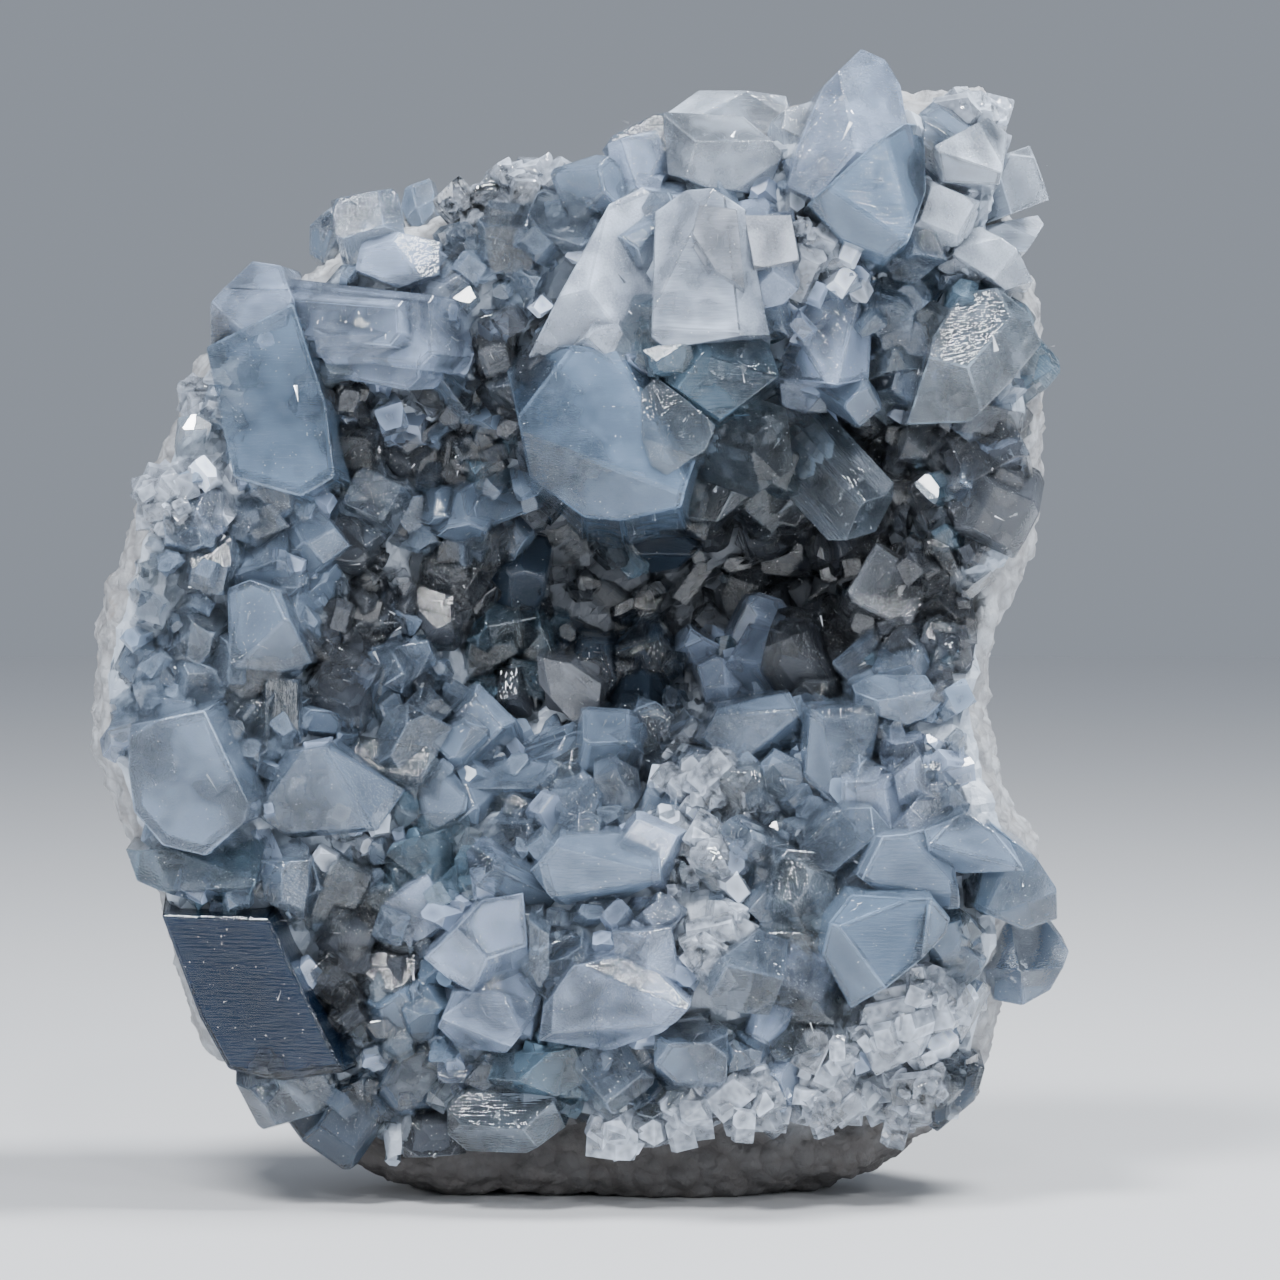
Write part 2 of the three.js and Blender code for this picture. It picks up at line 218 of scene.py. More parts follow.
rockSettings = {
    "voxel": 0.75 * mm,  # size of the remeshed rock's faces
    "lumps": [("CLOUDS", 7 * mm, 1.6 * mm), ("VORONOI", 2.4 * mm, -1.2 * mm), ("CLOUDS", 1.2 * mm, 0.8 * mm)],
    "white": (0.51, 0.54, 0.58, 1),
    "grey": (0.34, 0.35, 0.37, 1),
    "earth": (0.30, 0.24, 0.18, 1),  # the beige-brown in its pits
    "grains": (0.68, 0.71, 0.75, 1),
    "seams": (0.26, 0.26, 0.27, 1),  # painted shade between its lumps
    "dark": (0.085, 0.075, 0.068, 1),  # brown dirt and painted shade on its underside
    "scales": {"patches": 60, "dirt": 210, "grain": 1400, "cells": 520, "hem": 130},  # higher is finer
    "darkBelow": (0.006, 0.013),  # all dark below the first height, none above the second
    "hem": 0.012,  # how far up and down the edge of the dark strays
    "foot": 0.05 * mm,  # the flat spot stays this far above the ground
}


def rockMaterial():
    shader = Shader("paleRock")
    where = shader.where()
    scales = rockSettings["scales"]
    patches = shader.between(shader.noise(where, scales["patches"], 4, 0.6), 0.38, 0.62)
    dirt = shader.between(shader.noise(where, scales["dirt"], 6, 0.7), 0.54, 0.72)
    grain = shader.noise(where, scales["grain"], 3, 0.6)
    cells = shader.add("TexVoronoi", {"Vector": where, "Scale": scales["cells"]}, "Distance")
    colour = shader.mix(patches, rockSettings["grey"], rockSettings["white"])
    colour = shader.mix(dirt * 0.55, colour, rockSettings["earth"])
    colour = shader.mix(shader.between(grain, 0.35, 0.75) * 0.35, colour, rockSettings["grains"])
    # painted shade: darker between the lumps, away from the middle of each cell
    colour = shader.mix(shader.between(cells, 0.35, 0.75) * 0.6, colour, rockSettings["seams"])
    height = shader.add("SeparateXYZ", [where], 2)
    hem = (shader.noise(where, scales["hem"], 3, 0.6) - 0.5) * rockSettings["hem"]
    # painted shade with brown dirt: the rock darkens towards the bottom, below a ragged hem
    low = 1 - shader.between(height + hem, *rockSettings["darkBelow"])
    colour = shader.mix(low * 0.85, colour, rockSettings["dark"])
    surface = shader.add("BsdfPrincipled", {
        "Base Color": colour,
        "Roughness": 0.5 + shader.between(grain, 0.3, 0.7) * 0.4,
        "Normal": shader.bump(grain * 0.4 - cells, 0.9, 0.8 * mm),
        "IOR": 1.5,
    })
    return shader.finish(surface)


def buildRock():
    rock = copyOfNode("rock", "rough_rock")
    applyModifier(rock, "REMESH", mode="VOXEL", voxel_size=rockSettings["voxel"])
    roughen(rock, rockSettings["lumps"])
    for vertex in rock.data.vertices:
        vertex.co.z = max(vertex.co.z, rockSettings["foot"])
    pickOnly(rock)
    bpy.ops.object.shade_smooth()
    dress(rock, "rock", rockMaterial())
    return rock


rock = buildRock()
print("rock done:", len(rock.data.polygons), "faces")


# crystal habits: facets of a square shaft one wide with its tip at the origin, as direction and distance

shaft = 3
tipStretch = 0.8  # length of the tip's facets in widths
tipShare = 0.8  # and at most as a share of the crystal's length

habits = {
    "chisel": [
        (0, 0.72, 0.69, 0.03), (0.04, -0.8, 0.6, 0.01), (0.78, 0.1, 0.62, 0.24), (-0.62, -0.12, 0.78, 0.18),
        (0.62, 0.78, 0, 0.52), (-0.7, 0.7, 0, 0.66), (-0.62, -0.78, 0, 0.55), (0.7, -0.7, 0, 0.64),
    ],
    "block": [
        (0.26, 0.16, 0.95, 0.0), (-0.72, 0.1, 0.69, 0.2), (0.05, -0.78, 0.62, 0.24), (0.8, -0.2, 0.56, 0.36),
        (0.1, 0.82, 0.56, 0.4), (0.7, 0.7, 0, 0.6), (-0.7, 0.7, 0, 0.68), (-0.7, -0.7, 0, 0.6),
        (0.7, -0.7, 0, 0.68),
    ],
    "point": [
        (0.74, 0.32, 0.58, 0.04), (-0.7, 0.45, 0.55, 0.05), (0.66, -0.5, 0.55, 0.07),
        (-0.74, -0.36, 0.56, 0.03), (0.05, 0.8, 0.6, 0.2), (0, 0.05, 1, -0.01),
        (0.6, 0.8, 0, 0.54), (-0.6, 0.8, 0, 0.6), (-0.6, -0.8, 0, 0.52), (0.6, -0.8, 0, 0.62),
    ],
    "slant": [
        (0.52, 0.16, 0.84, 0.03), (-0.82, 0.1, 0.57, 0.24), (0.1, 0.78, 0.62, 0.26), (-0.1, -0.74, 0.67, 0.2),
        (0.75, 0.66, 0, 0.6), (-0.66, -0.75, 0, 0.56), (0.7, -0.7, 0, 0.68),
    ],
    "table": [
        (0.1, 0.26, 0.96, 0), (0.66, -0.1, 0.74, 0.2), (-0.6, -0.3, 0.74, 0.22), (0.1, 0.8, 0.6, 0.3),
        (0.06, -0.76, 0.65, 0.2), (0.8, 0.6, 0, 0.48), (-0.8, 0.6, 0, 0.62), (-0.8, -0.6, 0, 0.47),
        (0.8, -0.6, 0, 0.6),
    ],
}

habitSettings = {
    "kinds": 4,  # how many crystals are cut from each habit
    "wobble": 0.08,  # how far a facet strays from its habit
    "shift": 0.6,  # how far it shifts, as a share of that
    "edge": 0.018,  # width of the worn edges, in widths
    "narrow": 0.014,  # faces with less area than this count as edges
    "weld": 0.012,  # points closer than this become one
    "flat": 0.02,  # facets that differ by less than this angle become one
    "sharp": 0.3,  # edges are worn from this angle on
}


def cutHabit(name, facets, wobble, edge, room=1):
    bpy.ops.object.select_all(action="DESELECT")
    bpy.ops.mesh.primitive_cube_add(size=1, location=(0, 0, 0.5 - shaft / 2), scale=(room, room, shaft + 1))
    piece = bpy.context.object
    piece.name = name
    bpy.ops.object.transform_apply(location=True, rotation=True, scale=True)
    setMode("EDIT")
    for x, y, z, distance in facets:
        strayed = [axis + random.uniform(-wobble, wobble) for axis in (x, y, z)]
        if z == 0:
            strayed[2] = 0
        out = Vector(strayed).normalized()
        shift = random.uniform(-wobble, wobble) * habitSettings["shift"]
        place = out * (distance / Vector((x, y, z)).length + shift)
        selectAll()
        bpy.ops.mesh.bisect(plane_co=place, plane_no=out, use_fill=True, clear_outer=True)
    selectAll()
    bpy.ops.mesh.remove_doubles(threshold=habitSettings["weld"])
    bpy.ops.mesh.dissolve_limited(angle_limit=habitSettings["flat"])
    setMode("OBJECT")
    if edge:
        sharp = habitSettings["sharp"]
        applyModifier(piece, "BEVEL", width=edge, segments=1, limit_method="ANGLE", angle_limit=sharp)
    return piece


def takeArrays(piece, centred=True):  # points, those in a facet's middle, faces, their facets, narrow ones
    mesh = piece.data
    narrow = np.array([face.area < habitSettings["narrow"] for face in mesh.polygons])
    for number, face in enumerate(mesh.polygons):
        face.material_index = number
    corners = len(mesh.vertices)
    if centred:
        editFaces(piece, lambda face: not narrow[face.index])
        bpy.ops.mesh.poke()  # a point in the middle of each facet
        setMode("OBJECT")
    points = np.array([vertex.co for vertex in mesh.vertices])
    inner = (np.arange(len(points)) >= corners).astype(float)
    faces = [np.array(face.vertices) for face in mesh.polygons]
    facet = np.array([face.material_index for face in mesh.polygons])
    bpy.data.objects.remove(piece)
    bpy.data.meshes.remove(mesh)
    return points, inner, faces, facet, narrow


def cutHabits():
    cut = {"large": {}, "small": {}}
    wobble = habitSettings["wobble"]
    for name, facets in habits.items():
        large = cut["large"][name] = []
        small = cut["small"][name] = []
        for kind in range(habitSettings["kinds"]):
            large.append(takeArrays(cutHabit(name, facets, wobble * (kind > 0), habitSettings["edge"])))
            small.append(takeArrays(cutHabit(name, facets[:7], wobble * 1.5, 0)))
    return cut


def cutBlade():  # a thin three-sided splinter
    bpy.ops.object.select_all(action="DESELECT")
    bpy.ops.mesh.primitive_cone_add(vertices=3, radius1=0.5, depth=shaft, location=(0, 0, -shaft / 2))
    bpy.ops.object.transform_apply(location=True, rotation=True, scale=True)
    return takeArrays(bpy.context.object, False)


cutShapes = cutHabits()
blade = cutBlade()
print("habits cut")


# the big crystals: name, tone, front, its turn in degrees, how far they stand in front of the rock, and the
# corners of their outline seen from the front, x z x z and so on, in millimetres
bigCrystals = """
peak pale roof 12 14: 22 105.5 26.5 103 31.5 103 34.5 109.5 33.5 116 32 118.5 29.5 119.5 25.5 115.5 23 109.5
shoulder blue slab 60 17: 24 103.5 27.5 100 32 98 34 99.5 36 105 36 109.5 35.5 112 34 112 30.5 109.5
browSlab frost slab -40 6: 9 113 12 109.5 20.5 109.5 22.5 112.5 22 115.5 13 116
underShoulder blue step 100 12: 32 98 33 96 35 95.5 38 98 38 101 35.5 101.5
browMilk frost step 60 9: 9.3 113.5 9.8 106.9 13.8 105.3 19.9 104.8 21.5 108.9 17.4 113
browLeft pale slab 20 8: 3.5 110 4 105 8 104.5 10 107 8.5 111.5
striatedFlash striated flat 10 18.5: 12.1 100.3 14.5 96.5 17.4 94.7 16.6 102.8 12.8 103.3
striatedFold striated flat -20 16: 17.4 102.3 18.4 96.7 23 97.7 22.2 102.3
rightPrism glass roof -45 12: 35 81.5 41 81.5 45 85.5 48.3 89.5 46.8 92.6 43.7 95.2 40 94.5 37 90
cornerWhite frost step 20 11: 42 101.5 45.5 99 47 99 49 102 48.5 103
cornerLow frost slab 150 9: 39 98.5 44.5 95 47.5 96 45.5 99 42 101.5 39.5 101
cornerFlash frost slab 70 13: 37 109.5 38 106 43.5 105.5 44.5 111 42.5 112.5
cornerTop snow point 0 8: 37.5 114 38.5 111 42.5 109.5 45.5 111 45 114 41.5 116
uprightClear veil slab 190 17: 8 90 9.5 89 13 89.5 20 90.5 17.5 103 14 105 11.5 105 8.5 103
striatedRight pale roof 0 15: 17 102 19.5 93 21.5 93.5 23 95 23.5 98.5 22.5 103
striatedLeft veil roof -20 13: -4.5 88.5 8.5 89 8.5 104.5 7 105.5 3.5 103.5
rightBig pale slab 30 15: 19.5 93.5 21 86 27 85 30.5 86 31 93.5 28.5 95 23.5 95.5
whiteChip snow slab 0 15: 22.5 103 23 101 25.5 98.5 26.5 98.5 26.5 101 24 102.5
heart sky slab 68 24: -7 88 -4.5 76 1 72 5 71.5 11 72.5 13 79.5 12 87 7 88.5 -2.5 89.5
teal teal step 40 22: 9.5 85.5 15 81.5 21 86 20 89.5 17 91.5 14 91 9.5 87.5
glass glass slab -60 27: 7 79.5 8 77 9.5 76 13.5 78.5 14.5 81 8.5 86 7 84.5
darkTeal glass roof 30 18: 11 75 12 71.5 15 71 18 73.5 21 79.5 21.5 82.5 15 81
silverFacet silver slab -120 15: -4.2 58.6 -3.9 53.7 1.8 47.4 2.5 51 2.8 55.3 -0.5 56
underHeart deep slab 90 11: 4 71 6 67.5 8 65.5 11 66 14 68.5
prismTop pale slab -90 11: -38 88.5 -28.5 91.5 -29 94 -30.5 97.5 -33.5 98 -37.5 93.5 -38 89
prism blue flat -15 9: -38 89 -35 75.5 -28 73.5 -24.5 75.5 -25.5 83 -29 93.5
bar pale roof 90 13: -27 91.5 -26.5 88.5 -25.5 87.5 -13.5 87.5 -13 90 -13 91.5 -20.5 93
topLeft milk slab 0 6: -28 99 -26.5 98 -24.5 101.5 -24 103.5 -25.5 104 -28 102
spike milk point 20 4: -18.5 104 -17 101 -15 103.5 -15 105.5 -15.5 107 -18 106
midTop pale step 0 9: -22.5 97 -18 95 -14 96.5 -14 100 -21.5 101.5
leftSnow snow point 0 9: -46 75.5 -45 72 -42.5 70 -39 72 -38.5 75.5 -42 77
leftBlock milk step -80 14: -36 64 -35.5 56 -30.5 55.5 -27.5 56.5 -30.5 64 -33.5 65
leftFan milk point 30 11: -32.5 72 -32 67 -28.5 64.5 -23.5 68.5 -25.5 71 -28.5 73.5
midBright milk slab 20 11: -21 55 -18.5 53 -14.5 56 -15.5 58.5 -20 57.5
midBlock teal step 60 11: -13 56 -11 54 -6 57 -7.5 60.5 -12 59.5
glassBlock milk flat 100 17: -45.5 46 -45 41.5 -42 38 -37.5 37 -33.5 40.5 -33 42.5 -37.5 52 -45.3 50.3
underGlass teal slab 100 12: -46.5 37 -45 34 -40 32 -34.5 31 -32.5 34 -32.5 38
downPoint clear roof 0 13: -32.5 36 -32 32 -28 30 -27.5 33.5 -27.5 36
slab shade flat 0 11.5: -42.5 30.5 -38.5 20 -35.5 14.7 -30 13.5 -23.5 14.5 -31.5 30.3
roundTeal teal slab 50 11: -20 35.5 -17 32 -13 33.5 -12 36.5 -13.5 39 -19 37.5
shelfPlate milk slab 200 13: -35 46.5 -33.5 41 -29.5 38 -20.5 39 -18 43 -25.5 48
ball milk step 0 15: 2 41 5.5 40.5 7 42.5 6.5 45 3.5 47 2 46.5
wing milk roof 90 13: -15 43 -14 40.5 -7 41 1 42 1.5 45 -9 46
blueSlab milk slab 110 15: -4.5 35 -1.5 31.5 3.5 31 9 34.5 8.5 38.5 -1.5 38.5
paleCluster pale roof 40 16: -15.5 26 -13 24 -10 22.5 -4.5 25 -5.5 32.5 -9.5 32
whiteTip clear roof 0 17: -4.5 25.5 -3.5 23.5 -2.5 25 -2.5 29 -4.5 30.5
purplePoint pale point 0 13: 13 55.5 14 51 17 52.5 18.5 55.5 15 56.5
twin milk slab 140 14: 13 48 19.5 45 23 45 24 49.5 22.5 53 15 51.5
shelfBlock milk slab 15 16: 24 44.5 27 41.5 30 42.5 31.5 50 31 52 24.5 51.5
shelfTop milk step 80 12: 29 54 29.5 51.5 34.5 50 38.5 51.5 36.5 55 31.5 55
paleWedge pale roof 0 15: 33 45 33.5 42 37 42.5 35.5 47
rightPlate milk slab 70 16: 36 39.5 36.5 36 40 35 46 35.5 44.5 38.5 40 41.5
rightEdge blue slab -30 13: 41 31.5 46.5 29 50 30 49.5 33.5 47.5 36.5 43 40
rightTip milk point 0 9: 40.5 26.5 41.5 21 47 20 50 21.5 52 25.5 49.5 29 44 29
blueUpper milk slab 80 17: 29 35 34 31 39.5 31.5 39 36 36.5 39.5 31 39
blueR blue slab 35 20: 25.5 27 28.5 21.5 38 29 38.5 30.5 36.5 33 28.5 33 26 30.5
block milk step 45 16: 13 25.5 14.5 21.5 20 20.5 21.5 25 22 28 19 29
flash snow slab 0 17: 10.5 28 12.5 25 14.5 26.5 12.5 29
paleBlock pale roof 0 15: 4 29 4.5 25.5 7.5 23 11 24 10 29.5
snowBall snow point 10 17: 11.5 37.5 12 35 15 33.5 17.5 35.5 16.5 38.5 13 39
paleMass pale slab 100 17: -3.5 18 3.5 16.5 9 19 12 22 8.5 25 4.5 26.5 0 26 -3 21.5
paleLeft pale slab 60 15: -14 19 -12 16.5 -7 16.5 -3.5 21 -8 23 -12.5 22.5
tealLow teal step 120 14: -9 13 -5.5 12 -2 12 2 14 1.5 17.5 -8 16
darkLow deep roof 20 13: 4 19.5 5 14.5 8 14 11 17.5 10.5 19.5
clearLow glass roof 80 14: -13 8 -11 6 -5 6 -1 8.5 -2.5 12 -11.5 12 -13 10.5
whiteLow snow point 0 12: 1 7.5 3.5 5.5 6.5 5.5 8 8 7.5 10 4 10.5
snowA snow step 0 15: 14 13.5 15 10.5 17.5 7 22.5 7.5 21 14.5 17 15.5
snowB snow slab 80 14: 22 16 23.5 8.5 29.5 10 30.5 15 27.5 17.5
snowC snow point 40 13: 30 20.5 33 15 38 16.5 38.5 21.5 34.5 23
snowD snow roof 50 12: 31.5 14 33 9 39 10 40.5 13.5 37 16
cornerDeep deep slab 0 8: 34.5 10 37.5 8 41.5 11 42.5 14.5 39 16
"""

fronts = {  # the facets that close a big crystal towards the front
    "slab": [(0.08, 0.12, 1, 0), (-0.72, 0.1, 0.68, 0.14), (0.66, -0.5, 0.62, 0.22), (0.2, 0.8, 0.55, 0.3)],
    "roof": [(0.55, 0.15, 0.83, 0.02), (-0.45, 0.1, 0.88, 0.02), (0.1, -0.72, 0.68, 0.14),
        (-0.1, 0.75, 0.66, 0.26)],
    "step": [(-0.15, -0.1, 1, 0), (0.6, 0.35, 0.72, 0.08), (-0.35, 0.7, 0.62, 0.2), (-0.3, -0.7, 0.65, 0.27)],
    "flat": [(-0.06, 0.10, 1, 0), (0.66, 0.28, 0.7, 0.36), (-0.7, -0.2, 0.7, 0.34), (0.1, -0.8, 0.6, 0.42)],
    "point": [(0.5, 0.45, 0.74, 0.07), (-0.55, 0.4, 0.73, 0.08), (-0.4, -0.55, 0.73, 0.1),
        (0.5, -0.45, 0.74, 0.12)],
}

bigSettings = {
    "flare": 0.02,  # how much wider a crystal gets towards its root, on each side, in widths
    "lean": -0.1,  # how far its root lies out from the middle of the geode, as a share of its length
    "edge": 0.012,
    "room": 1.5,  # width of the block that they are cut from
    "middle": (7, 58),
}


def tableRows(text):  # the words and numbers in each line; a line of one word is a heading
    for line in text.split("\n"):
        words = line.replace(":", "").replace(",", "").split()
        if len(words) > 1:
            yield [word if word[0].isalpha() else float(word) for word in words]


def cutOutline(name, front, turn, outline):  # a crystal with this outline, in the terms of the habits
    xs, zs = outline[::2], outline[1::2]
    middle = Vector(((min(xs) + max(xs)) / 2, (min(zs) + max(zs)) / 2))
    width = max(xs) - min(xs)
    depth = max(zs) - min(zs)
    corners = [Vector(((x - middle.x) / width, (z - middle.y) / depth)) for x, z in zip(xs, zs)]
    facets = []
    for corner, following in zip(corners, corners[1:] + corners[:1]):
        side = following - corner
        out = Vector((side.y, -side.x)).normalized()
        facets.append((out.x, out.y, bigSettings["flare"], out.dot(corner)))
    for x, y, z, distance in fronts[front]:
        across = Matrix.Rotation(math.radians(turn), 2) @ Vector((x, y))
        facets.append((across.x, across.y, z, distance))
    piece = cutHabit(name, facets, 0, bigSettings["edge"], bigSettings["room"])
    return takeArrays(piece), middle, width, depth


# the standing crystals by region: habit, tone, x and z of the tip, those of the root, how far the tip stands
# in front of the rock at its root, width, depth and turn about its own length in degrees, in millimetres
crystalRows = """
brow
chisel frost 23.5 114, 24.5 107, 3 6.5 6 20
chisel frost 48 107, 44 105.5, 5 6 6 0
block frost 38.5 102, 39 104.5, 12 5.5 6 15
chisel milk 6 112, 9.5 105, 4 8 7 0
block snow -5 108.5, -3.5 103.5, 5 8 7 12
block snow -10 105.5, -8.5 101, 5 6.5 6 -10
block clear -21.5 103.5, -20.5 98, 7 7 6 0
slant milk 1.5 106, 2.5 103, 9 7 6 0
chisel milk -1.5 100, -1.5 98, 10 8 7 20
block clear -7.5 99.5, -7 98, 9 6 6 0
point clear 13 105.5, 14 89.5, 7 11.5 10 4
block milk 4 104, 7 91.5, 9 8 7.5 0
slant clear 20 103, 21 91.5, 8 6.5 6.5 0
heart
block chip -8 87, -6.5 88.5, 11 3 3 10
table deep -1.5 67, -1 68.5, 6 11 9 20
left
block pale -12 90, -28 92, 9 7.8 8.5 0
block snow -39.5 85.5, -36.5 81, 4 5.5 5 10
slant milk -9.5 71, -16 73.5, 10 6.5 6.5 0
block clear -20 74, -20.5 73, 10 6.5 5.5 15
point smoke -20.5 65, -19.5 66, 10 5.5 5.5 0
block smoke -13.5 64, -14 62.5, 11 6 6 -12
point smoke -24 59, -23.5 58, 10 5.5 5.5 0
chisel milk -38.5 64, -37.5 63, 9 7 6.5 30
point clear -43 67, -41 66.5, 6 5.5 5.5 0
chisel clear -39 56.5, -37.5 55.5, 9 8 6 -20
block smoke -24.5 81, -23.5 81.5, 5 5 4 0
chisel smoke -18 80.5, -17.5 81, 7 6.5 6 10
point smoke -12.5 81, -12 82, 8 6 6 0
hollow
slant deep -1 52.5, 2 59, 9 9 10 0
point deep 8.5 53.5, 8 55, 8 7.5 7 0
table deep 2.5 62, 2.5 63, 6 12 9 10
chisel smoke 17.5 67, 18 68.5, 7 10 8 -20
point smoke 12 60.5, 12 61.5, 6 9 7 0
chisel smoke 23.5 59, 24 59.5, 8 7 6 15
right
chisel teal 44.5 94.5, 36 81, 8 8.8 7.5 0
chisel teal 49 89.5, 38 80.5, 6 6.5 6 10
block smoke 45 83, 40.5 79, 6 6 6 0
block smoke 42.5 79.5, 43.5 76.5, 7 7 6.5 8
point chip 32.5 83.5, 32.5 79, 7 3 2.8 0
table smoke 35.5 76.5, 36.5 75, 7 8.5 7.5 0
block smoke 43.5 71, 44 70.5, 7 7.5 7 -6
point chip 28 71.5, 30.5 70, 8 4 3.5 0
block smoke 31.5 68.5, 32.5 68, 8 5 4 10
block chip 34 64, 35.5 62.5, 9 9.5 7 -10
chisel smoke 28.5 63.5, 29 62.5, 9 7 6 0
chisel smoke 39.5 66.5, 40 66, 7 6.5 6 30
point smoke 39 57.5, 40 57, 7 6 6 0
shelfLeft
point clear -29.5 30, -30 36, 10 5.2 5 0
slant clear -29.5 10.5, -28.5 13, 9 9 6.5 20
chisel clear -18 48.5, -20 46, 13 7 7 0
chisel milk 2 47, -9 43, 9 5 6 0
point milk -4.5 39.5, -3 41.5, 15 8.5 7 0
block smoke -19.5 25, -19 25.5, 8 7.5 7.5 0
block clear -34.5 50.5, -32.5 49.5, 11 7 6 25
chisel snow -24 37, -23.5 38, 10 6.5 6 0
shelfRight
chisel clear 29 37, 30 36.5, 16 8.5 7 10
block snow 13 42.5, 14 41.5, 16 5.2 4.4 20
chisel clear 20.5 34.5, 21 34, 16 6.5 5.5 0
point glass 23 23, 23.5 24, 14 5.5 5.5 0
foot
table deep -18 14, -17.5 15, 9 8.5 7.5 0
block deep -23 8, -22 9, 8 8 6.5 0
chisel smoke -14.5 5.5, -14 7.5, 8 6.5 5 0
slant snow 30.5 18.5, 31 19, 15 9.5 8 15
block snow 13 10, 13.5 11.5, 13 7 6 10
chisel milk 12 18, 12.5 19, 15 7.5 7 0
point blue -14 20.5, -13.5 21, 12 6 6 0
chisel snow 34 9, 33.5 10.5, 9 7 5.5 0
block clear 4.5 15, 5.5 16, 14 7 6 0
"""

crystalSettings = {
    "lowest": 5 * mm,  # under this height the rock is bare
    "rootDepth": 3,  # how far a root goes below the rock's face
    "lean": 0.42,  # how far a crystal that points straight out leans over, per millimetre of reach
    "straight": 0.3,  # it does so if tip and root lie closer than this share of its reach
    "leanTurns": (2.1, 1.3),  # the way it leans turns with its tip's place
    "companions": {  # smaller crystals grown alongside each one, with places in its widths
        "least": 4.5, "count": 3, "size": (0.35, 0.72), "spread": 0.42, "vary": (0.75, 1.15),
        "shorter": (0.15, 0.6), "stray": 0.12, "foot": 0.7, "margin": 0.6, "turn": (-12, 12),
    },
    "lightness": (0.85, 1.12),
    "edgeHaze": (0.6, 2.5),  # how white the worn edges are at most, and as a share of their crystal's haze
    "facetHaze": (0.5, 0.8, 1.0, 1.15, 1.3),  # how much each facet takes of its crystal's haze, drawn by lot
    "facetShade": (0.8, 1.2),  # painted light and shade: how much lighter or darker than its crystal a facet is, drawn by lot
    "clouds": 120,  # scale of the clouds in the haze, higher is finer
    "contrast": 1.2,  # how hard their edges are
    "pale": 0.25,  # painted light: how much lighter a facet is at its edges than in its middle, as if light glowed through the crystal's edges
    "dusk": 0.38,  # painted shade: how much darker the crystals down in the hollow are
    "shell": (0.32, 0.6, -0.2),  # a clear shell's least haze, what clouds add and what a facet's middle adds
    "heart": (-0.5, 1.6, 0.3),  # the same for the milk of a heart, where 1 is solid
    "ownHeart": 0.15,  # a heart this far below the tip has a shape of its own
    "lines": [(0.1, 1, 1), (1, 1, 0.12)],  # growth lines run across a crystal or along it
    "cracks": {  # silvery ones inside a crystal, in its widths
        "count": (5, 12), "size": (0.02, 0.2), "depth": (0.05, 0.7), "side": 0.22, "wide": (0.05, 0.3),
        "thin": 0.02,
    },
    "specks": {  # bright white specks, partly dust and partly painted glints; density per square millimetre, fewer in the hollow as painted shade there
        "density": (0.2, 0.5), "size": (0.06, 0.26), "fewer": 0.6, "wide": 0.6, "thin": 0.4,
    },
}

# the heart's width and depth below the tip, in widths, how much more solid it is, haze on the facets, colour
toneRows = """
milk 0.86 0.12 0 0.32, 0.27 0.355 0.49
blue 0.90 0.08 0.1 0.34, 0.20 0.285 0.41
pale 0.88 0.10 0.1 0.42, 0.44 0.55 0.76
veil 0.86 0.12 0.1 0.58, 0.64 0.74 0.91
teal 0.80 0.20 0.1 0.24, 0.16 0.25 0.34
deep 0.86 0.12 1 0.16, 0.075 0.108 0.16
sky 0.95 0.05 0 0.32, 0.24 0.345 0.50
shade 0.97 0.03 0.75 0.05, 0.010 0.026 0.060
glass 0.60 1.1 0.2 0.18, 0.35 0.43 0.52
clear 0.65 0.7 0 0.20, 0.32 0.415 0.56
smoke 0.74 0.28 0.6 0.20, 0.115 0.129 0.156
snow 0.90 0.08 0.6 0.66, 0.64 0.72 0.85
chip 0.90 0.08 0.6 0.7, 0.30 0.33 0.38
striated 0.80 0.20 0.4 1.1, 0.30 0.33 0.385
frost 0.90 0.08 0.3 0.68, 0.72 0.82 0.97
silver 0.80 0.20 0.5 1.1, 0.13 0.142 0.165
"""
tones = {name: values for name, *values in tableRows(toneRows)}

Place = namedtuple("Place", "habit tone tip root width depth spin")  # of one crystal, in metres


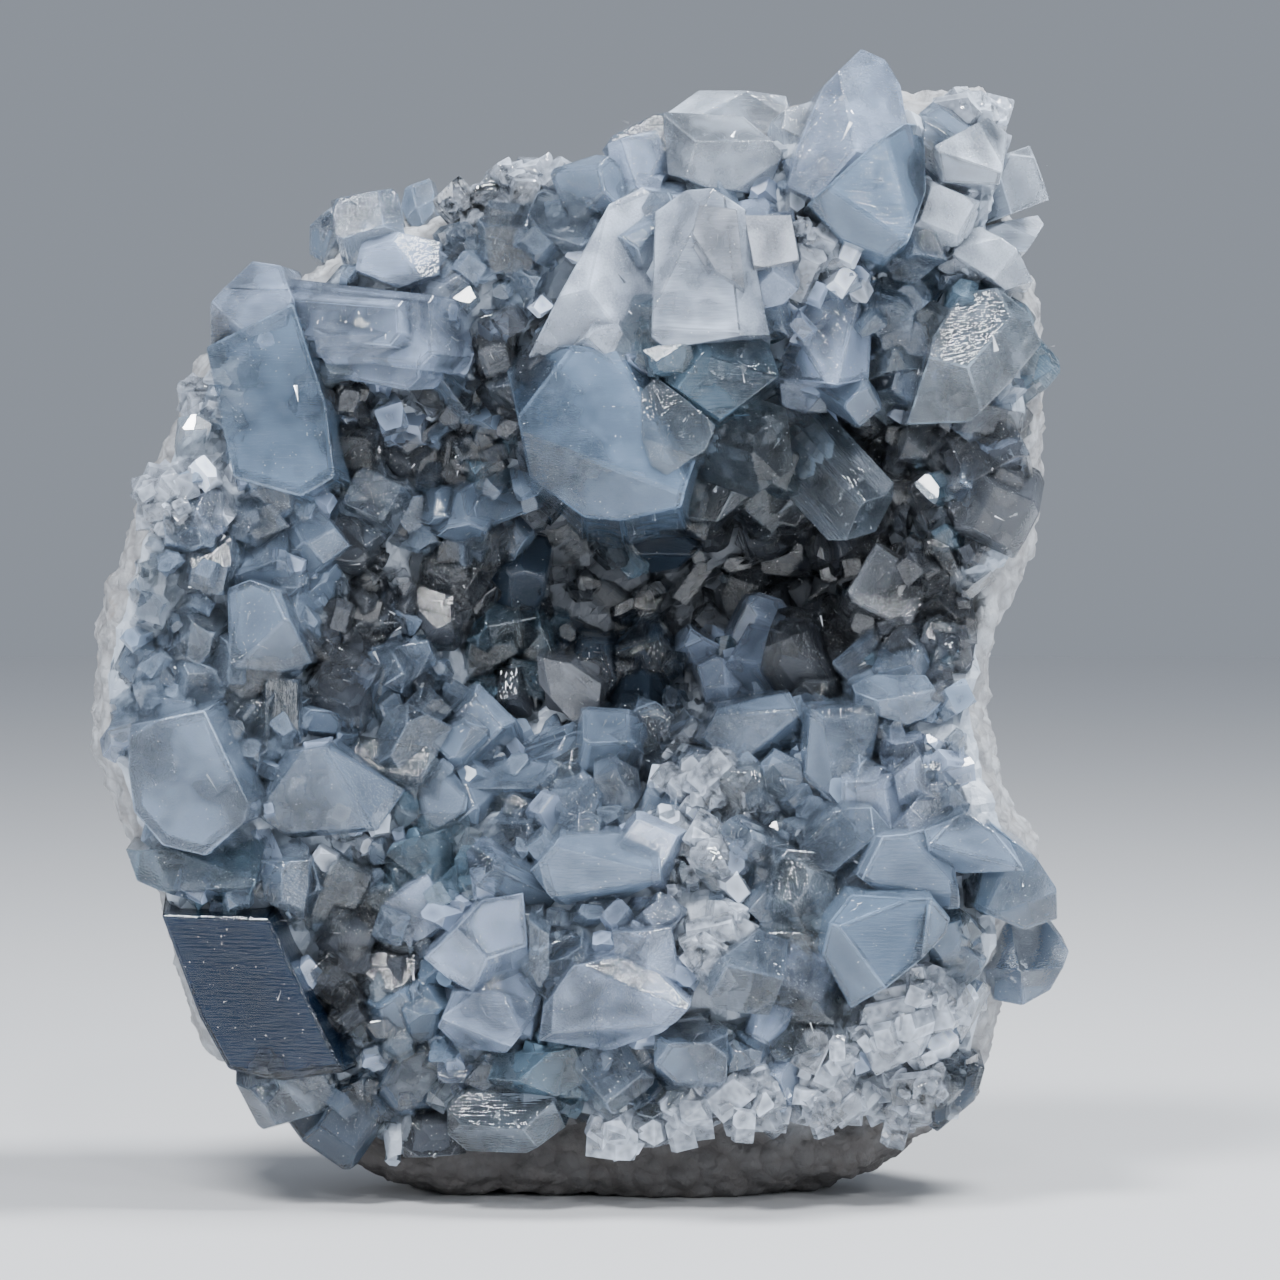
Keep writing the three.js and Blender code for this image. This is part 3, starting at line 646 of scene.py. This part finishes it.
class Crystals:  # gathers placed crystals and makes them one mesh
    def __init__(self):
        self.points, self.faces, self.tint, self.lines, self.haze = [], [], [], [], []
        self.count = 0

    def place(self, shape, tip, root, width, depth, spin, tint, haze, soft):
        points, inner, faces, facet, narrow = shape
        along = tip - root
        length = along.length
        along.normalize()
        across = Vector((0, -1, 0)).cross(along)
        if across.length < 0.12:  # it points almost straight ahead
            across = Vector((1, 0, 0)) - along * along.x
        across.normalize()
        across.rotate(Matrix.Rotation(math.radians(spin), 3, along))
        outward = along.cross(across)
        onRoot = points[:, 2] < -shaft + 0.2  # the shaft's far end
        tipLength = min(tipStretch * width, tipShare * length)
        down = np.where(onRoot, -length, points[:, 2] * tipLength)
        local = np.column_stack([points[:, 0] * width, points[:, 1] * depth, down])
        placed = local @ np.array([across, outward, along]) + np.array(tip)
        start = np.array([lot((0, 90)) for axis in range(3)])
        self.points.append(placed)
        self.faces.extend(face + self.count for face in faces)
        self.lines.append(local / mm * np.array(random.choice(crystalSettings["lines"])) + start)
        self.count += len(points)
        # haze and colour at each face's corners: softer clouds, and lighter towards the edges of a facet, as
        # painted light glowing through the crystal's edges
        corners = np.concatenate(faces)
        cornerFacet = np.repeat(facet, [len(face) for face in faces])
        clouds = np.array([noise.noise(Vector(point) * crystalSettings["clouds"]) for point in placed])
        hazes = haze * np.array(random.choices(crystalSettings["facetHaze"], k=len(narrow)))
        most, edgeShare = crystalSettings["edgeHaze"]
        hazes[narrow] = min(most, edgeShare * haze)
        least, cloudy, middle = soft
        veil = np.clip(0.5 + crystalSettings["contrast"] * clouds, 0, 1)
        pointHaze = least + cloudy * veil + middle * inner
        self.haze.append(hazes[cornerFacet] * pointHaze[corners])
        # painted light and shade: each facet lighter or darker by lot, in place of how light catches it
        facetLights = np.array([lot(crystalSettings["facetShade"]) for number in narrow])
        edgeGlow = facetLights[cornerFacet] * (1 + crystalSettings["pale"] * (1 - inner[corners]))
        colour = np.outer(edgeGlow, tint)
        self.tint.append(np.column_stack([colour, np.ones(len(corners))]))

    def build(self, name):
        mesh = bpy.data.meshes.new(name)
        mesh.from_pydata(np.vstack(self.points).tolist(), [], [face.tolist() for face in self.faces])
        for key, kind, domain, field, values in (
                ("tint", "FLOAT_COLOR", "CORNER", "color", self.tint),
                ("lines", "FLOAT_VECTOR", "POINT", "vector", self.lines),
                ("haze", "FLOAT", "CORNER", "value", self.haze)):
            made = mesh.attributes.new(key, kind, domain)
            made.data.foreach_set(field, np.concatenate(values).astype(np.float32).ravel())
        return newObject(name, mesh)


standing, hearts, small, cracks, snowy = [Crystals() for kind in range(5)]

# its middle's x and z, half its width and height, and how many times that far out it fades away
hollow = {"middle": (0.010, 0.066), "size": (0.026, 0.013), "fade": 1.4}


def inHollow(point):  # 1 in the middle of the hollow, 0 outside it
    away = math.hypot(*[(at - middle) / size for at, middle, size in
                        zip((point.x, point.z), hollow["middle"], hollow["size"])])
    return min(max(hollow["fade"] - away, 0), 1)


def strayFrom(way, tilt):  # turns a way by lot, but not far to the side
    turned = (way + anyWay() * tilt).normalized()
    return turned if turned.dot(way) > 0.25 else way.copy()  # at most 75 degrees away


def anyShape(size, kinds=tuple(habits)):
    return random.choice(cutShapes[size][random.choice(kinds)])


sugar = {
    "size": (1.5, 3.4),
    "packing": 2.2,  # how densely they stand
    "core": 0.8,  # width of the core that they stand on, here and below in widths of the knot
    "below": 0.35,  # how far under the knot's tip it ends
    "spread": 0.42,  # how far to the side they stand
    "drop": 0.35,  # how much lower those at the side stand
    "sunk": (0, 0.25),  # how much lower still, by lot
    "splay": 0.5,  # how much those at the side lean out
    "tilt": 0.55,
    "shade": (0.8, 1.15),
    "long": 1.6,  # their length in their own widths
    "deep": (0.6, 1),
}


def growSugar(shape, place, tint, haze):  # a knot of small white crystals around a core
    habit, tone, tip, root, width, depth, spin = place
    along = (tip - root).normalized()
    across = (Vector((1, 0, 0)) - along * along.x).normalized()
    outward = along.cross(across)
    soft = crystalSettings["shell"]
    core, spread, splay = sugar["core"], sugar["spread"], sugar["splay"]
    lower = tip - along * sugar["below"] * min(width, depth)
    snowy.place(shape, lower, root, width * core, depth * core, spin, tint, haze, soft)
    middle = sum(sugar["size"]) / 2 * mm
    for number in range(max(5, int(sugar["packing"] * width * depth / middle ** 2))):
        size = lot(sugar["size"]) * mm
        u, v = lot((-1, 1)), lot((-1, 1))
        drop = sugar["drop"] * (u * u + v * v) + lot(sugar["sunk"])
        end = tip + across * u * spread * width + outward * v * spread * depth
        end -= along * drop * min(width, depth)
        way = strayFrom((along + across * u * splay + outward * v * splay).normalized(), sugar["tilt"])
        piece = anyShape("small")
        shade = lot(sugar["shade"])
        colour = [channel * shade for channel in tint]
        foot = end - way * size * sugar["long"]
        snowy.place(piece, end, foot, size, size * lot(sugar["deep"]), 0, colour, haze, soft)


def addSpecks(points, faces, tint):  # bright white specks scattered on the facets that face forward, partly dust and partly painted glints
    settings = crystalSettings["specks"]
    facing = []
    for face in faces:
        first, second, third = [Vector(points[corner]) for corner in face[:3]]
        facing.append(max(-(second - first).cross(third - first).y, 0))
    # painted shade: fewer bright specks in the hollow
    dim = 1 - settings["fewer"] * inHollow(Vector(points[0]))
    count = sum(facing) / 2 / mm ** 2 * lot(settings["density"]) * dim
    for number in range(int(count)):
        corners = [Vector(points[corner]) for corner in random.choices(faces, weights=facing)[0]]
        shares = [random.random() for corner in corners]
        middle = sum((corner * share for corner, share in zip(corners, shares)), Vector()) / sum(shares)
        size = lot(settings["size"]) * mm
        way = anyWay().normalized() * size / 2
        wide, thin = size * settings["wide"], size * settings["thin"]
        cracks.place(blade, middle + way, middle - way, wide, thin, 0, tint, 1, (1, 0, 0))


def grow(shape, place):  # one clear crystal with the milky heart inside it
    habit, tone, tip, root, width, depth, spin = place
    share, below, solid, haze, *colour = tones[tone]
    shell = crystalSettings["shell"]
    lightness = lot(crystalSettings["lightness"])
    # painted shade: crystals down in the hollow are darkened
    tint = [channel * lightness * (1 - crystalSettings["dusk"] * inHollow(tip)) for channel in colour]
    if tone == "snow":
        growSugar(shape, place, tint, haze)
        return
    standing.place(shape, tip, root, width, depth, spin, tint, haze, shell)
    addSpecks(standing.points[-1], shape[2], tint)
    length = (root - tip).length
    heartTip = tip + (root - tip) / length * min(below * width, 0.6 * length)
    thick = min(width, depth)
    wide, deep = width * share, depth * share
    if below > crystalSettings["ownHeart"]:
        shape = anyShape("large", ["slant", "point"])
        spin = lot((0, 360))
        wide = deep = thick * share
        width = thick
    least, cloudy, middle = crystalSettings["heart"]
    hearts.place(shape, heartTip, root, wide, deep, spin, tint, 1, (least + solid, cloudy, middle))
    settings = crystalSettings["cracks"]
    for number in range(random.randint(*settings["count"])):
        size = lot(settings["size"]) * thick
        side = within(settings["side"]) * thick
        middle = tip + (root - tip) / length * lot(settings["depth"]) * width + side
        way = anyWay().normalized() * size / 2
        wide, thin = size * lot(settings["wide"]), size * settings["thin"]
        cracks.place(blade, middle + way, middle - way, wide, thin, 0, tint, 0, shell)


rockFace = copyOfNode("rock", "rock_face")
rockTree = treeOf(rockFace)


def rockAt(x, z, missed=0.0):  # where the rock's face lies behind a point seen from the front
    hit = rockTree.ray_cast(Vector((x, -0.2, z)), Vector((0, 1, 0)))[0]
    return hit.y if hit else missed


def overRock(point, margin):  # whether the rock backs the point and what lies within the margin of it
    if point.z < margin + crystalSettings["lowest"]:
        return False
    turns = [math.radians(turn) for turn in range(0, 360, 45)]
    around = [(point.x + margin * math.cos(turn), point.z + margin * math.sin(turn)) for turn in turns]
    return all(rockAt(x, z, None) is not None for x, z in around)


def keepsToRock(tip, root, margin):  # whether the rock backs the whole length of a crystal
    return all(overRock(tip.lerp(root, share), margin) for share in (0, 0.5, 0.9))


def standingPlaces():  # each row's place in space, leaning over where it points straight out
    perX, perZ = crystalSettings["leanTurns"]
    for habit, tone, tipX, tipZ, footX, footZ, reach, width, depth, spin in tableRows(crystalRows):
        way = perX * tipX + perZ * tipZ
        straight = math.hypot(tipX - footX, tipZ - footZ) <= crystalSettings["straight"] * reach
        tip = Vector((tipX * mm, rockAt(footX * mm, footZ * mm) - reach * mm, tipZ * mm))
        for side in (1, -1, 0):  # leaning the other way, or not at all, where it would leave the rock
            lean = crystalSettings["lean"] * reach * side * straight
            x = (footX + lean * math.cos(way)) * mm
            z = (footZ + lean * math.sin(way)) * mm
            root = Vector((x, rockAt(x, z), z))
            root += (root - tip).normalized() * crystalSettings["rootDepth"] * mm
            if overRock(root, 0.5 * width * mm):
                break
        yield Place(habit, tone, tip, root, width * mm, depth * mm, spin)


def addCompanions(place):
    habit, tone, tip, root, width, depth, spin = place
    settings = crystalSettings["companions"]
    along = (tip - root).normalized()
    across = along.orthogonal().normalized()
    outward = along.cross(across)
    for number in range(settings["count"]):
        size = lot(settings["size"])
        turn = lot((0, 2 * math.pi))
        spread = lot(settings["vary"]) * settings["spread"]
        side = across * math.cos(turn) * width * spread + outward * math.sin(turn) * depth * spread
        shorter = along * lot(settings["shorter"]) * width
        end = tip + side - shorter + within(settings["stray"]) * width
        foot = root + side * settings["foot"]
        if keepsToRock(end, foot, settings["margin"] * size * width):
            shape = anyShape("large", [habit, "block", "chisel"])
            turned = spin + lot(settings["turn"])
            grow(shape, Place(habit, tone, end, foot, width * size, depth * size, turned))


def bigPlaces():  # each big crystal's shape and place, leaning in towards the middle of the geode
    for name, tone, front, turn, reach, *outline in tableRows(bigCrystals):
        shape, middle, width, depth = cutOutline(name, front, turn, outline)
        ahead = rockAt(middle.x * mm, middle.y * mm) - reach * mm
        tip = Vector((middle.x * mm, ahead, middle.y * mm))
        length = (reach + crystalSettings["rootDepth"]) * mm
        outward = (middle - Vector(bigSettings["middle"])).normalized() * bigSettings["lean"] * length
        root = tip + Vector((outward.x, length, outward.y))
        yield shape, Place(name, tone, tip, root, width * mm, depth * mm, 0)


bigPlaced = list(bigPlaces())
for shape, place in bigPlaced:
    grow(shape, place)
print("big crystals placed:", len(bigPlaced))

places = list(standingPlaces())
for number, place in enumerate(places):
    grow(cutShapes["large"][place.habit][number % habitSettings["kinds"]], place)
    if place.width > crystalSettings["companions"]["least"] * mm:
        addCompanions(place)
print("standing crystals placed:", len(places))
places += [place for shape, place in bigPlaced]


# the crystal floor between them, and the crystals that stand on it

floorSettings = {
    "thickness": 4.1 * mm,
    "voxel": 0.9 * mm,
    "bumps": [("VORONOI", 4 * mm, 1.8 * mm), ("CLOUDS", 1.6 * mm, 0.8 * mm)],
    "front": -0.35,  # faces of the rock that look this far forward belong to the hollow
    "bare": 4.5 * mm,  # how far from the rock's outline the floor ends
    "rim": 2.3 * mm,  # how far from it the crystals on the floor end
    "lift": 0.5,  # how far it rises towards the tips around it, as a share of their height
    "filling": {
        "count": 680, "width": (4, 8), "wider": 0.15, "deep": (0.6, 1), "tilt": 0.4, "reach": (0.5, 1),
        "root": 2, "behind": 1.2, "clear": 0.42, "longest": 2,
        "habits": ["chisel", "slant", "block", "point"],
    },
    "small": {
        "count": 1800, "width": (1.3, 3.4), "deep": (0.6, 1), "tilt": 0.5, "reach": (0.8, 1.6), "root": 0.6,
        "fewer": 0.5, "lightness": (1, 1.4), "soft": (0.75, 0.8, -0.3),
    },
    "faithful": 0.7,  # how often a crystal takes the tone of the nearest standing one
    "dark": ["smoke", "deep", "smoke", "teal"],  # the others' tones in the hollow
    "light": ["clear", "glass", "milk", "pale"],  # and outside it
}


def treeOfTips():  # finds the tips nearest to a point, seen from the front
    tree = KDTree(len(places))
    for number, place in enumerate(places):
        tree.insert((place.tip.x, 0, place.tip.z), number)
    tree.balance()
    return tree


tips = treeOfTips()


def tipsNear(point, count):  # the nearest tips, each with how far to the side of it the point lies
    return [(places[number], away) for place, number, away in tips.find_n((point.x, 0, point.z), count)]


def frontAt(point, count=4):  # how far forward the tips around the point reach
    return sum(place.tip.y for place, away in tipsNear(point, count)) / count


def buildFloor():
    floor = rockFace
    floor.name = "crystal_floor"
    front, bare = floorSettings["front"], floorSettings["bare"]
    editFaces(floor, lambda face: face.normal.y > front or not overRock(face.center, bare))
    bpy.ops.mesh.delete(type="FACE")
    setMode("OBJECT")
    applyModifier(floor, "SOLIDIFY", thickness=floorSettings["thickness"], offset=0.4)
    applyModifier(floor, "REMESH", mode="VOXEL", voxel_size=floorSettings["voxel"])
    facing = [vertex for vertex in floor.data.vertices if vertex.normal.y < 0]
    for vertex in facing:
        vertex.co.y += floorSettings["lift"] * min(frontAt(vertex.co) - vertex.co.y, 0)
    roughen(floor, floorSettings["bumps"])
    return floor


def toneNear(point):  # mostly the tone of the nearest standing crystal
    tone = tipsNear(point, 1)[0][0].tone
    tone = {"chip": "smoke", "silver": "deep", "striated": "pale"}.get(tone, tone)
    others = floorSettings["dark" if inHollow(point) > 0 else "light"]
    return tone if random.random() < floorSettings["faithful"] else random.choice(others)


def spotsOn(surface, count):  # random places on the front of a surface, with the way that it faces there
    faces = [face for face in surface.data.polygons if face.normal.y < -0.1]
    for face in random.choices(faces, weights=[face.area for face in faces], k=count):
        yield face.center.copy(), face.normal.copy()


def fillBetween(surface):  # crystals that reach almost to the tips of those around them and stay behind them
    settings = floorSettings["filling"]
    for point, facing in spotsOn(surface, settings["count"]):
        width = lot(settings["width"]) * mm * (1 + settings["wider"] * inHollow(point))
        way = strayFrom((facing + Vector((0, -1, 0))).normalized(), settings["tilt"])
        rise = point.y - frontAt(point) - settings["behind"] * mm
        length = rise * lot(settings["reach"]) / max(-way.y, 0.5)
        length = min(max(length, 0.5 * width), settings["longest"] * width)
        tip = point + way * length
        root = point - way * settings["root"] * mm
        hides = any(away < settings["clear"] * place.width for place, away in tipsNear(tip, 3))
        if keepsToRock(tip, root, 0.5 * width + floorSettings["rim"]) and not hides:
            shape = anyShape("large", settings["habits"])
            depth = width * lot(settings["deep"])
            spin = lot((0, 90))
            grow(shape, Place("filling", toneNear(point), tip, root, width, depth, spin))


def scatterSmall(surface):
    settings = floorSettings["small"]
    for point, facing in spotsOn(surface, settings["count"]):
        width = lot(settings["width"]) * mm
        way = strayFrom(facing, settings["tilt"])
        tip = point + way * width * lot(settings["reach"])
        dim = inHollow(tip)
        if overRock(tip, 0.3 * width + floorSettings["rim"]) and random.random() > settings["fewer"] * dim:
            shape = anyShape("small")
            depth = width * lot(settings["deep"])
            haze, *tint = tones[toneNear(point)][3:]
            # painted shade: small crystals down in the hollow are darkened
            lightness = lot(settings["lightness"]) * (1 - crystalSettings["dusk"] * dim)
            tint = [channel * lightness for channel in tint]
            root = point - way * width * settings["root"]
            small.place(shape, tip, root, width, depth, lot((0, 90)), tint, haze, settings["soft"])


crystalFloor = buildFloor()
fillBetween(crystalFloor)
scatterSmall(crystalFloor)
print("crystals on the floor placed")


# celestite

celestiteSettings = {
    "ior": 1.62,
    "clear": (0.97, 0.985, 0.995, 1),
    "absorb": (0.53, 0.655, 0.81, 1),
    "absorbDensity": 45.0,
    "silver": ((0.72, 0.76, 0.82, 1), (0.92, 0.94, 0.97, 1)),  # the cracks
    "floor": ((0.38, 0.45, 0.55, 1), (0.58, 0.65, 0.75, 1)),
    "floorGrains": (0.56, 0.62, 0.70, 1),
    # painted shade: the floor's colour down in the hollow
    "floorHollow": (0.07, 0.075, 0.085, 1),
    "fineGrain": 900,  # the scale of the grain on cracks, floor and snowy crystals
}


def celestiteMaterial(name, large, sugary=False):  # clear crystal with a thin haze, large ones with lines
    shader = Shader(name)
    haze = shader.attribute("haze")
    normal = {}
    if sugary:
        grain = shader.noise(shader.where(), celestiteSettings["fineGrain"], 1, 0.6)
        haze = haze + (grain - 0.5) * 0.9
        normal = {"Normal": shader.bump(grain, 0.6, 0.4 * mm)}
    if large:
        wisps = shader.between(shader.noise(shader.where(), 420, 0), 0.4, 0.7)
        lines = shader.noise(shader.attribute("lines", "Vector"), 4.5, 1, 0.6)
        haze = haze * (0.5 + wisps * 0.5 + lines * 0.6)
        normal = {"Normal": shader.bump(lines, 0.35, 0.2 * mm)}
    milk = shader.add("BsdfPrincipled", {
        "Base Color": shader.attribute("tint", "Color"),
        "Roughness": 0.12,
        "IOR": celestiteSettings["ior"],
    } | normal)
    clear = shader.add("BsdfPrincipled", {
        "Base Color": celestiteSettings["clear"],
        "Roughness": 0.0,
        "IOR": celestiteSettings["ior"],
        "Transmission Weight": 1.0,
    } | normal)
    surface = shader.add("MixShader", [haze, clear, milk])
    if not large:
        return shader.finish(surface)
    absorb = {"Color": celestiteSettings["absorb"], "Density": celestiteSettings["absorbDensity"]}
    return shader.finish(surface, shader.add("VolumeAbsorption", absorb))


def heartMaterial():  # the milk inside, a soft cloud without edges
    shader = Shader("milkyHeart")
    veil = shader.noise(shader.where(), 300, 1, 0.6)
    surface = shader.add("BsdfPrincipled", {
        "Base Color": shader.attribute("tint", "Color"),
        "Roughness": 0.9,
        "Specular IOR Level": 0.0,
        "Alpha": shader.between(shader.attribute("haze") + (veil - 0.5) * 1.2, 0.0, 0.9),
    })
    return shader.finish(surface)


def crackMaterial():  # cracks inside a crystal shine like silver where they catch the light
    shader = Shader("silveryCrack")
    ripples = shader.noise(shader.where(), celestiteSettings["fineGrain"], 2, 0.6)
    surface = shader.add("BsdfPrincipled", {
        "Base Color": shader.mix(ripples, *celestiteSettings["silver"]),
        "Metallic": 1 - shader.attribute("haze"),
        "Roughness": 0.18 + ripples * 0.3,
        "Normal": shader.bump(ripples, 0.5, 0.2 * mm),
    })
    return shader.finish(surface)


def floorMaterial():
    shader = Shader("crystalFloor")
    where = shader.where()
    place = shader.add("SeparateXYZ", [where])
    height = Signal(shader, place.socket.node.outputs[2])
    (x, z), (wide, high) = hollow["middle"], hollow["size"]
    away = ((place - x) / wide) ** 2 + ((height - z) / high) ** 2
    patches = shader.between(shader.noise(where, 90, 4, 0.6), 0.35, 0.65)
    grain = shader.noise(where, celestiteSettings["fineGrain"], 4, 0.6)
    # painted shade: the floor is darkened inside the hollow
    inside = 1 - shader.between(away, 0.6, 1.7)
    colour = shader.mix(patches, *celestiteSettings["floor"])
    colour = shader.mix(shader.between(grain, 0.5, 0.7) * 0.5, colour, celestiteSettings["floorGrains"])
    colour = shader.mix(inside * 0.85, colour, celestiteSettings["floorHollow"])
    surface = shader.add("BsdfPrincipled", {
        "Base Color": colour,
        "Roughness": 0.25 + grain * 0.4,
        "IOR": celestiteSettings["ior"],
        "Normal": shader.bump(grain, 0.7, 0.4 * mm),
    })
    return shader.finish(surface)


for piece, material in (
        (standing.build("standing_crystals"), celestiteMaterial("clearCelestite", True)),
        (small.build("small_crystals"), celestiteMaterial("smallCelestite", False)),
        (snowy.build("snowy_crystals"), celestiteMaterial("snowyCelestite", False, True)),
        (hearts.build("milky_hearts"), heartMaterial()),
        (cracks.build("inner_cracks"), crackMaterial()),
        (crystalFloor, floorMaterial())):
    dress(piece, "crystal_crust", material)
    print(piece.name, "done:", len(piece.data.polygons), "faces")


# stage, light and camera

stageSettings = {
    "floor": (0.74, 0.75, 0.77, 1),
    "world": (0.74, 0.82, 0.95, 1),
    "worldStrength": 0.38,
}

lights = {  # place, width, power in watts, colour
    "key": ((-0.22, -0.45, 0.75), 0.22, 8, (0.97, 0.98, 1.0)),
    "top": ((0.30, -0.05, 0.60), 0.18, 6, (0.96, 0.98, 1.0)),
    "fill": ((0.70, -0.60, 0.20), 0.35, 1.5, (0.92, 0.96, 1.0)),
    "sparkLeft": ((-0.55, -0.55, 0.25), 0.05, 1.2, (1.0, 1.0, 1.0)),
    "sparkHigh": ((0.10, -0.75, 0.60), 0.05, 1.2, (1.0, 1.0, 1.0)),
    "sparkRight": ((0.45, -0.70, 0.45), 0.05, 1.0, (1.0, 1.0, 1.0)),
}

cameraSettings = {
    "aim": (6.8 * mm, -12 * mm, 58.5 * mm),
    "lens": 180,
    "distance": 0.668,
    "elevation": 2.0,
}


def buildStage():
    bpy.ops.object.select_all(action="DESELECT")
    bpy.ops.mesh.primitive_plane_add(size=3, location=(0, 0, 0))
    floor = bpy.context.object
    floor.name = "pale_floor"
    shader = Shader("paleFloor")
    surface = shader.add("BsdfPrincipled", {"Base Color": stageSettings["floor"], "Roughness": 0.6})
    floor.data.materials.append(shader.finish(surface))


def aimAt(thing, target):
    thing.rotation_euler = (Vector(target) - thing.location).to_track_quat("-Z", "Y").to_euler()


def buildLights():
    world = bpy.data.worlds.new("studio")
    world.use_nodes = True
    background = world.node_tree.nodes["Background"]
    background.inputs["Color"].default_value = stageSettings["world"]
    background.inputs["Strength"].default_value = stageSettings["worldStrength"]
    bpy.context.scene.world = world
    for name, (place, size, power, colour) in lights.items():
        lamp = bpy.data.lights.new(name, "AREA")
        lamp.shape = "DISK"
        lamp.size = size
        lamp.energy = power
        lamp.color = colour
        light = newObject(name, lamp)
        light.location = place
        aimAt(light, cameraSettings["aim"])


def buildCamera():
    camera = newObject("camera", bpy.data.cameras.new("camera"))
    camera.data.lens = cameraSettings["lens"]
    camera.data.clip_start = 0.01
    rise = math.radians(cameraSettings["elevation"])
    back = Vector((0, -math.cos(rise), math.sin(rise))) * cameraSettings["distance"]
    camera.location = Vector(cameraSettings["aim"]) + back
    aimAt(camera, cameraSettings["aim"])
    bpy.context.scene.camera = camera


def setLightPaths():  # enough bounces to see through two or three crystals
    paths = bpy.context.scene.cycles
    paths.max_bounces = 6
    paths.diffuse_bounces = 1
    paths.glossy_bounces = 2
    paths.transmission_bounces = 5
    paths.use_light_tree = False


buildStage()
buildLights()
buildCamera()
setLightPaths()
print("stage, lights and camera done")
